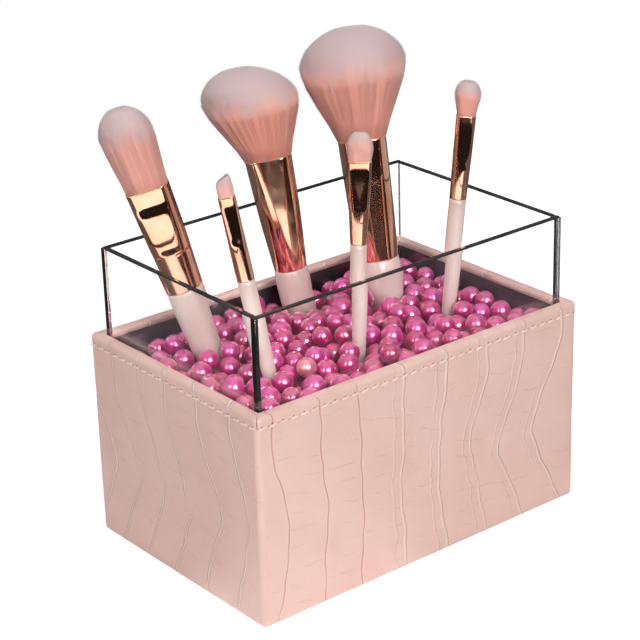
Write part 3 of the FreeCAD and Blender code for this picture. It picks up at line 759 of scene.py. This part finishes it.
def makeInsert():
    material, rim = acrylicFinish(), plainFinish(insert["rim"])
    gap = insert["glueGap"] * mm
    for side in insert["sheets"]:
        low, high = (np.array(corner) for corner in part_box("acrylic_" + side))
        shape = bmesh.new()
        bmesh.ops.create_cube(shape, size=1)
        for corner in shape.verts:
            corner.co = np.where(np.array(corner.co) > 0, high - gap, low + gap)
        bevels = [(low[2], insert["chamfer"], 1)]
        if side != "floor":
            bevels.insert(0, (high[2] - 2 * gap, insert["rimChamfer"], 2))
        for level, width, segments in bevels:
            edges = [edge for edge in shape.edges if min(corner.co.z for corner in edge.verts) > level]
            bmesh.ops.bevel(shape, geom=edges, offset=width * mm, segments=segments, affect="EDGES")
        piece = addPiece("sheet_" + side, [], [], material)
        shape.normal_update()
        piece.data.materials.append(rim)
        # the top faces take the rim finish, painted dark grey as a reflection
        for face in shape.faces:
            face.material_index = int(face.normal.z > 0.2 and side != "floor")
        shape.to_mesh(piece.data)
        shape.free()
        piece.data.shade_flat()
        dress(piece, "insert", "clear_acrylic", "acrylic_" + side)


makeInsert()
print("insert made")


# Loose pearls: one round shape, set at the middle of every ball of the frame.
pearl = {
    "colour": linear(188, 18, 112), "deep": linear(170, 8, 92), "pale": linear(200, 42, 138),
    "gold": linear(214, 132, 138), "goldenPlace": (-39, -26, 96), "goldenReach": 5,
    "layers": 6, "smoothness": 3, "seed": 5,
}


def pearlFinish():
    finish = Finish("pinkPearl", {
        "Roughness": 0.32, "Metallic": 0.4, "Coat Weight": 1.0, "Coat Roughness": 0.08, "Coat IOR": 1.72,
        "Sheen Weight": 0.25, "Sheen Roughness": 0.4, "Sheen Tint": linear(214, 150, 205)})
    tone = finish.attribute("pearlTone")
    haze = finish.noise(finish.place(), 130)
    body = finish.blend(tone.ease(0.0, 0.5), pearl["deep"], pearl["colour"])
    body = finish.blend(tone.ease(0.5, 0.97), body, pearl["pale"])
    body = finish.blend(tone.ease(0.985, 0.99), body, pearl["gold"])
    finish.colour(finish.blend(haze.ease(0.4, 0.7, 0.0, 0.3), body, pearl["pale"]))
    finish.roughness(0.27 + haze * 0.1)
    return finish.material


def ballsIn(node):  # middle and radius of each separate ball of a CAD node
    mesh = frame["nodes"][node].data
    points = pointsOf(mesh)
    corners = np.empty(len(mesh.loops), np.int32)
    mesh.loops.foreach_get("vertex_index", corners)
    corners = corners.reshape(-1, 3)
    reached = np.maximum.accumulate(corners.max(axis=1))
    ahead = np.minimum.accumulate(corners.min(axis=1)[::-1])[::-1]
    cuts = np.flatnonzero(reached[:-1] < ahead[1:]) + 1
    balls = []
    for group in np.split(corners, cuts):
        shell = points[group.min():group.max() + 1]
        low, high = shell.min(axis=0), shell.max(axis=0)
        balls.append((*((low + high) / 2), (high - low).max() / 2))
    return np.array(balls)


def makePearls():
    heap = Builder("pearls", {"Smoothness": "Int", "Material": "Material"})
    values = {"Radius": 1.0, "Subdivisions": heap.start["Smoothness"]}
    ball = heap.add("GeometryNodeMeshIcoSphere", {}, values)
    spin = heap.add("FunctionNodeRandomValue", {"data_type": "FLOAT_VECTOR"},
                    {0: (0, 0, 0), 1: (6.28, 6.28, 6.28), "Seed": 3}, out=0)
    heap.finish(heap.scatter(ball, spin, heap.named("pearlSize")))
    material = pearlFinish()
    draw = random.Random(pearl["seed"])
    for number in range(1, pearl["layers"] + 1):
        node = "pearl_layer_%d" % number
        balls = ballsIn(node)
        tones = [draw.random() * 0.98 for _ in balls]
        apart = np.linalg.norm(balls[:, :3] / mm - pearl["goldenPlace"], axis=1)
        if apart.min() < pearl["goldenReach"]:
            tones[apart.argmin()] = 1.0
        seed = meshOf(node, balls[:, :3], pearlSize=balls[:, 3], pearlTone=tones)
        piece = heap.grow("pearlLayer%d" % number, seed,
                          {"Smoothness": pearl["smoothness"], "Material": material})
        dress(piece, "insert", "pearl", node)


makePearls()
print("pearls laid")


# The brushes, one column each. Heights are mm along the brush's own line, from where it leaves its pocket;
# the seat is that point on the plan. Widths and thicknesses are from the middle out. A ferrule's thickness
# and the share of its width that is pressed flat are given from its foot, 0, to its mouth, 1.
brushNames = ("foundation", "liner", "blush", "shader", "powder", "crease")
brushTable = {
    "seat": ((-57.6, 22.0), (-54.3, -16.8), (7.2, 38.1), (-3.5, -19.6), (46.2, 20.8), (56.1, -15.5)),
    "buried": (64, 67, 62, 66, 66, 61), "endRadius": (3.4, 1.9, 3.6, 1.8, 4.0, 2.0),
    "seatRadius": (7.0, 3.3, 8.0, 3.3, 9.6, 3.3), "bellyHeight": (19, 31, 9, 28, 8, 40),
    "bellyRadius": (7.9, 3.9, 8.3, 3.7, 10.7, 4.0), "footHeight": (29.1, 42.1, 15, 44.5, 14.3, 50.9),
    "footRadius": (7.9, 4.1, 7.9, 3.8, 10.0, 4.0), "mouthHeight": (79.7, 81.1, 70.9, 82.9, 73.8, 90.8),
    "mouthWidth": (10.1, 3.9, 11.2, 5.5, 11.6, 4.6),
    "thickness": (
        ((0, 7.9), (0.37, 7.85), (0.385, 7.8), (0.425, 7.5), (0.44, 7.45), (0.76, 7.3), (0.775, 7.25),
         (0.85, 6.85), (0.865, 6.84), (1, 6.95)),
        ((0, 4.1), (0.42, 4.15), (0.52, 3.7), (0.85, 2.5), (0.89, 2.42), (1, 2.6)),
        ((0, 7.9), (0.3, 8.1), (0.5, 8.2), (0.7, 8.0), (1, 7.7)),
        ((0, 3.8), (0.42, 4.25), (0.5, 4.0), (0.86, 2.6), (0.89, 2.55), (1, 2.8)),
        ((0, 10.0), (0.25, 9.95), (0.5, 9.6), (1, 9.15)),
        ((0, 4.0), (0.36, 4.45), (0.44, 4.25), (0.9, 3.4), (1, 3.5)),
    ),
    "flats": (
        ((0.36, 0), (0.37, 0.2), (0.4, 0.34), (0.46, 0.43), (0.86, 0.64), (1, 0.68)),
        ((0.42, 0), (1, 0.55)),
        ((0.3, 0), (1, 0.5)),
        ((0.44, 0), (0.86, 0.62), (1, 0.7)),
        ((0.2, 0), (1, 0.5)),
        ((0.36, 0), (0.5, 0.25), (1, 0.42)),
    ),
    "spreadHeight": (104, 84.5, 97.9, 88, 107, 100.5), "spreadWidth": (12.4, 3.7, 22.6, 5.9, 25.6, 6.1),
    "headFlatness": (0.62, 0.5, 0.74, 0.42, 0.8, 0.8), "tipHeight": (118.5, 92, 115.2, 97.2, 127.2, 107.7),
    "tipSkew": (0, 0, -4.4, 0, 0.6, -0.3), "bluntness": (2, 8, 2, 2, 2, 2.2),
    "tipSlant": (0, 0.55, 0, 0, 0, 0), "squareness": (0.75, 0.62, 0.88, 0.7, 0.88, 0.8),
    "paleness": (0.25, 0.8, 0.0, 0.5, 0.1, 0.15), "strands": (6500, 1600, 8200, 2400, 8200, 2400),
    "strandRadius": (0.068, 0.056, 0.08, 0.056, 0.085, 0.062), "stray": (0.2, 0.1, 0.35, 0.12, 0.35, 0.15),
    "seed": (1, 2, 3, 4, 5, 6),
}
brushFinish = {
    "cream": {
        "name": "creamLacquer", "shader": {"Roughness": 0.35, "Coat Weight": 0.3, "Coat Roughness": 0.12},
        "drift": (45, 3), "grain": (1800,), "edges": (0.35, 0.7),
        "colours": (linear(220, 200, 192), linear(210, 186, 178)), "rough": (0.26, 0.1, 0.04),
        "depth": 0.01},
    "roseGold": linear(226, 172, 144), "roseGoldWarm": linear(214, 155, 126),
    "root": linear(230, 156, 136), "tuft": linear(240, 168, 148), "tip": linear(206, 180, 180),
    "pale": linear(234, 184, 178), "shaded": (0.93, 0.78, 0.74, 1),
    "seatLevel": 98, "broadSide": 231.3, "skin": 0.4, "swell": 0.64, "segments": 48,
    "strandSteps": 5, "coreShare": 0.98, "coreSegments": 64, "rootGap": 0.4,
}
strandSizes = (
    "mouthHeight", "rootWidth", "rootThickness", "spreadHeight", "spreadWidth", "spreadThickness",
    "tipHeight", "tipSkew", "tipSlant", "strandRadius", "stray", "squareness", "paleness", "bluntness")


def readBrushes():
    brushes = {}
    for column, name in enumerate(brushNames):
        brush = {measure: values[column] for measure, values in brushTable.items()}
        brush["rootWidth"] = brush["mouthWidth"] - brushFinish["rootGap"]
        brush["rootThickness"] = brush["thickness"][-1][1] - brushFinish["rootGap"]
        brush["spreadThickness"] = brush["spreadWidth"] * brush["headFlatness"]
        brushes[name] = brush
    return brushes


brushes = readBrushes()


def smoothThrough(at, heights, values):  # a curve through the stations that never overshoots them
    heights, values = np.array(heights, float), np.array(values, float)
    gaps = np.diff(heights)
    slopes = np.diff(values) / gaps
    tangents = np.concatenate([slopes[:1], (slopes[1:] + slopes[:-1]) / 2, slopes[-1:]])
    tangents[1:-1][slopes[1:] * slopes[:-1] <= 0] = 0
    step = np.clip(np.searchsorted(heights, at, side="right") - 1, 0, len(gaps) - 1)
    share = (at - heights[step]) / gaps[step]
    limit = 3 * np.abs(slopes[step])
    left = np.clip(tangents[step], -limit, limit) * gaps[step]
    right = np.clip(tangents[step + 1], -limit, limit) * gaps[step]
    rise = share * share * (3 - 2 * share)
    bend = share * (1 - share)
    return values[step] * (1 - rise) + values[step + 1] * rise + bend * ((1 - share) * left - share * right)


def brushPlace(name):  # the brush's own line, as the frame's joint draws it out
    axis = next(Vector(joint["axis"]) for joint in frame["joints"] if joint["child"] == name + "_brush")
    axis.normalize()
    facing = math.radians(brushFinish["broadSide"])
    across = axis.cross(Vector((math.cos(facing), math.sin(facing), 0))).normalized()
    turn = Matrix((across, axis.cross(across), axis)).transposed().to_4x4()
    seat = Vector((*brushes[name]["seat"], brushFinish["seatLevel"])) * mm
    return Matrix.Translation(seat) @ turn @ Matrix.Scale(mm, 4)


def roseGoldFinish():
    finish = Finish("roseGold", {"Metallic": 1.0, "Roughness": 0.12})
    where = finish.place()
    drift = finish.noise(where, 60, 3)
    smear = finish.noise(where, 420, 3)
    finish.colour(finish.blend(drift.ease(0.4, 0.7), brushFinish["roseGold"], brushFinish["roseGoldWarm"]))
    finish.roughness(0.08 + smear.ease(0.5, 0.8) * 0.05)
    finish.bump(drift, 0.008 * mm)
    return finish.material


def bristleFinish():
    finish = Finish("brushBristles", {"Roughness": 0.62, "Sheen Weight": 0.5, "Sheen Roughness": 0.4})
    along = finish.attribute("alongTuft")
    tone = finish.attribute("strandTone")
    where = finish.place(stretch=(1, 1, 0.18))
    streaks = finish.noise(where, 420)
    clumps = finish.noise(finish.place(stretch=(1, 1, 0.5)), 110)
    faded = (along + (tone - 0.5) * 0.12 + (streaks - 0.5) * 0.15 + (clumps - 0.5) * 0.25).ease(0.44, 0.82)
    body = finish.blend(along.ease(0.0, 0.16), brushFinish["root"], brushFinish["tuft"])
    body = finish.blend(finish.attribute("paleness"), body, brushFinish["pale"])
    body = finish.blend(faded, body, brushFinish["tip"])
    body = finish.blend(tone * 0.14, body, brushFinish["shaded"], how="MULTIPLY")
    finish.colour(body)
    hairs = finish.noise(finish.place(stretch=(1, 1, 0.06)), 2600)
    finish.bump(hairs, 0.02 * mm)
    return finish.material


def dressBrush(piece, name, part, slotName):  # set up on the brush's line, as that brush's own part
    piece.data.transform(brushPlace(name))
    dress(piece, name + "_brush", slotName, name + "_" + part)


def makeHandle(name, material):
    brush = brushes[name]
    shares = np.array([0, 0.3, 0.6, 0.85, 1])
    stations = [*(brush["buried"] * (shares - 1)), brush["bellyHeight"], brush["footHeight"]]
    widths = [*(brush["endRadius"] + (brush["seatRadius"] - brush["endRadius"]) * shares),
              brush["bellyRadius"], brush["footRadius"] - 0.05]
    bends = np.linspace(0.12, math.pi / 2, 8)[:-1]
    body = np.linspace(-brush["buried"], brush["footHeight"], 60)
    tenon = brush["footRadius"] - brushFinish["skin"] - 0.08  # what the ferrule is pushed over
    heights = [*(-brush["buried"] - brush["endRadius"] * np.cos(bends)), *body,
               *(brush["footHeight"] + rise for rise in (0.02, 5, 9))]
    radii = [*(brush["endRadius"] * np.sin(bends)), *smoothThrough(body, stations, widths),
             tenon, tenon - 0.7, tenon - 1.5]
    ring = circle(brushFinish["segments"])
    rings = [raised(radius * ring, height) for height, radius in zip(heights, radii)]
    dressBrush(loft(name + "Handle", rings, "capped", material), name, "handle", "cream_lacquer")


def ferruleRing(height, width, thickness, flat, arc=14, across=5):  # flat faces between rounded ends
    turns = np.linspace(-math.pi / 2, math.pi / 2, arc + 1)
    ends = np.column_stack([flat + (width - flat) * np.cos(turns), thickness * np.sin(turns)])
    middles = np.linspace(1, -1, across + 2)[1:-1] * flat
    half = np.concatenate([ends, np.column_stack([middles, np.full(across, thickness)])])
    ring = np.concatenate([half, -half])
    return raised(ring, height)


def makeFerrule(name, material):
    brush = brushes[name]
    foot, mouth = brush["footHeight"], brush["mouthHeight"]
    skin = brushFinish["skin"]
    middleWidth = brush["footRadius"] + (brush["mouthWidth"] - brush["footRadius"]) * brushFinish["swell"]
    widths = ((0, 0.5, 1), (brush["footRadius"], middleWidth, brush["mouthWidth"]))
    thicknesses, flats = zip(*brush["thickness"]), zip(*((0, 0), *brush["flats"]))
    tables = [np.array(tuple(table), float) for table in (widths, thicknesses, flats)]

    def section(height, inwards):
        level = np.array([(height - foot) / (mouth - foot)])
        width, thick, flat = (smoothThrough(level, *table)[0] for table in tables)
        flat = max(flat, 0.03) * width
        return ferruleRing(height, width - inwards, thick - inwards, min(flat, width - inwards - 0.3))

    rings = [section(foot, skin), section(foot, 0.12), section(foot + 0.15, 0)]
    rings += [section(height, 0) for height in np.linspace(foot + 0.6, mouth - 0.6, 84)]
    rings += [section(mouth - 0.2, 0), section(mouth - 0.05, 0.06), section(mouth, 0.2),
              section(mouth - 0.05, 0.34), section(mouth - 0.2, skin)]
    rings += [section(height, skin) for height in np.linspace(mouth - 1, foot + 0.5, 12)]
    dressBrush(loft(name + "Ferrule", rings, "joined", material), name, "ferrule", "rose_gold")


def sizeAt(share, root, widest):  # of a tuft, from its root, 0, to its widest place, 1
    return root + (widest - root) * (share * (1.15 - share * 0.15) + share ** 6 * (1 - share) * 0.4)


def makeCore(name, material):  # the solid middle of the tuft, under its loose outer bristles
    brush = brushes[name]
    mouth, spread, tip = brush["mouthHeight"], brush["spreadHeight"], brush["tipHeight"]
    bends = np.linspace(0, math.pi / 2, 14)[1:-1]
    heights = [*np.linspace(mouth - 8, spread, 24), *(spread + (tip - 1.0 - spread) * np.sin(bends))]
    ring = circle(brushFinish["coreSegments"])
    rings = []
    for height in heights:
        share = np.clip((height - mouth) / (spread - mouth), 0, 1)
        rise = np.clip((height - spread) / (tip - spread), 0, 1)
        dome = brushFinish["coreShare"] * max(1 - rise * rise, 0.002) ** (1 / brush["bluntness"])
        square = brush["squareness"] + (1 - brush["squareness"]) * share
        width = sizeAt(share, brush["rootWidth"], brush["spreadWidth"])
        thickness = sizeAt(share, brush["rootThickness"], brush["spreadThickness"])
        sides = np.array((width, thickness)) * dome
        across, deep = (sides * np.sign(ring) * np.abs(ring) ** square).T
        slant = brush["tipSlant"] * rise * (across - width)
        skew = brush["tipSkew"] * (0.55 * share + rise)
        rings.append(np.column_stack([skew + across, deep, height + slant]))
    along = np.repeat((np.array(heights) - mouth) / (tip - mouth), len(ring))
    piece = loft(name + "TuftCore", rings, "capped", material, alongTuft=along,
                 strandTone=np.full(len(along), 0.5), paleness=np.full(len(along), brush["paleness"]))
    dressBrush(piece, name, "bristles", "bristles")


def strandTree():
    tuft = Builder("tuft", {"strands": "Int", "steps": "Int", "seed": "Int", "Material": "Material",
                            **{size: "Float" for size in strandSizes}})
    (mouth, rootWidth, rootThickness, spread, spreadWidth, spreadThickness, tip,
     skew, slant, radius, stray, square, paleness, bluntness) = (tuft.start[size] for size in strandSizes)
    line = tuft.add("GeometryNodeCurvePrimitiveLine", {}, {"End": (0, 0, 1)})
    line = tuft.add("GeometryNodeResampleCurve", {}, {"Curve": line, "Count": tuft.start["steps"]})
    strands = tuft.add("GeometryNodeDuplicateElements", {"domain": "SPLINE"},
                       {"Geometry": line, "Amount": tuft.start["strands"]})
    number = tuft.add("GeometryNodeCurveOfPoint")
    along = tuft.add("GeometryNodeSplineParameter")
    seed = tuft.start["seed"] * 10

    turn = tuft.draw(0, math.tau, seed, number)
    out = tuft.draw(0, 1, seed + 1, number) ** 0.3
    top = spread + (tip - spread) * ((1 - out ** bluntness * 0.985) ** 0.5)
    short = tuft.draw(0, 1, seed + 2, number) ** 2.5
    top = top - short * stray * 2.2 + tuft.draw(-0.5, 0.5, seed + 3, number) * stray
    top = top + (out * turn.cosine() - 1) * slant * spreadWidth
    base = mouth - 2
    height = base + (top - base) * along

    share = height.ease(mouth, spread, how="LINEAR")
    rise = (height - spread) / (tip - spread)
    rise = rise.math("MAXIMUM", rise, 0)
    width = sizeAt(share, rootWidth, spreadWidth)
    thickness = sizeAt(share, rootThickness, spreadThickness)
    wild = 1 + tuft.draw(0, 1, seed + 4, number) ** 18 * 5
    bend = along * along * stray * wild
    curl = (along * 5 + tuft.draw(0, math.tau, seed + 5, number)).sine() * stray * 0.35 * share
    square = square + (1 - square) * share
    across, deep = (part.sign() * abs(part) ** square for part in (turn.cosine(), turn.sine()))
    x = out * across * width + skew * (share * 0.55 + rise)
    x = x + tuft.draw(-1, 1, seed + 6, number) * bend + curl
    y = out * deep * thickness + tuft.draw(-1, 1, seed + 7, number) * bend + curl * 0.6
    strands = tuft.add("GeometryNodeSetPosition", {}, {
        "Geometry": strands, "Position": tuft.vector(x, y, height)})
    strands = tuft.keep(strands, "alongTuft", (height - mouth) / (tip - mouth))
    strands = tuft.keep(strands, "strandTone", tuft.draw(0, 1, seed + 8, number))
    strands = tuft.keep(strands, "paleness", paleness)
    hair = tuft.add("GeometryNodeCurvePrimitiveCircle", {}, {"Resolution": 3, "Radius": 1.0})
    thin = radius * (1 - (along ** 3) * 0.8)
    values = {"Curve": strands, "Profile Curve": hair, "Scale": thin}
    tuft.finish(tuft.add("GeometryNodeCurveToMesh", {}, values))
    return tuft


def makeStrands(name, tuft, material):
    brush = brushes[name]
    values = {size: brush[size] for size in (*strandSizes, "strands", "seed")}
    values.update({"steps": brushFinish["strandSteps"], "Material": material})
    piece = tuft.grow(name + "Tuft", bpy.data.meshes.new(name + "Tuft"), values)
    places = pointsOf(piece.data)
    dressBrush(piece, name, "bristles", "bristles")
    # the loose bristles catch the light as one soft body
    roundness = (places[:, 2] - brush["spreadHeight"]) / (brush["tipHeight"] - brush["spreadHeight"])
    roundness = np.clip(roundness, 0, 1)
    swell = (brush["spreadWidth"] - brush["rootWidth"]) / (brush["spreadHeight"] - brush["mouthHeight"])
    outwards = places * (1, 1 / brush["headFlatness"], 0)
    outwards /= np.maximum(np.linalg.norm(outwards, axis=1), 0.01)[:, None]
    outwards[:, 2] = roundness * 1.5 - swell * (1 - roundness)
    outwards /= np.linalg.norm(outwards, axis=1)[:, None]
    turned = outwards @ np.array(brushPlace(name).to_3x3().normalized()).T
    piece.data.normals_split_custom_set_from_vertices(turned)


def makeBrushes():
    cream, gold, hair = plainFinish(brushFinish["cream"]), roseGoldFinish(), bristleFinish()
    tuft = strandTree()
    for name in brushes:
        makeHandle(name, cream)
        makeFerrule(name, gold)
        makeCore(name, hair)
        makeStrands(name, tuft, hair)
        print("brush made:", name)


makeBrushes()
